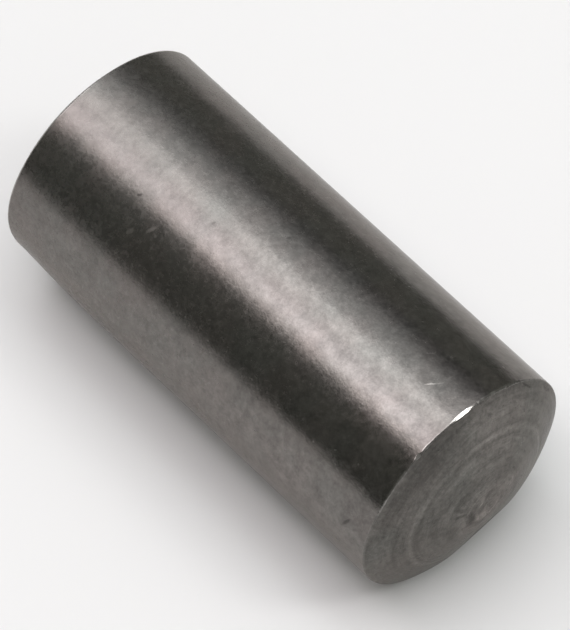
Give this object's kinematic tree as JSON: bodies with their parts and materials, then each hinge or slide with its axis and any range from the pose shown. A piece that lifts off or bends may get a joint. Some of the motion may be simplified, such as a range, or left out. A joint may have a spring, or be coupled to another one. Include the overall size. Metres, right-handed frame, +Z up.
{
  "type": "dowel pin",
  "caption": "Short solid steel cylinder with lens-crowned ends, pressed into reamed holes to line up two parts.",
  "frame": {"origin": "on the pin's axis, at the middle of its shank", "axes": "+X along the pin's axis, +Z up as the pin lies on its side; both ends are alike"},
  "size_m": [0.0186, 0.008, 0.008],
  "materials": {
    "steel": "ground shank and turned ends, barrel finished to a satin grey"
  },
  "bodies": {
    "root": {"pin": "steel"}
  },
  "joints": []
}
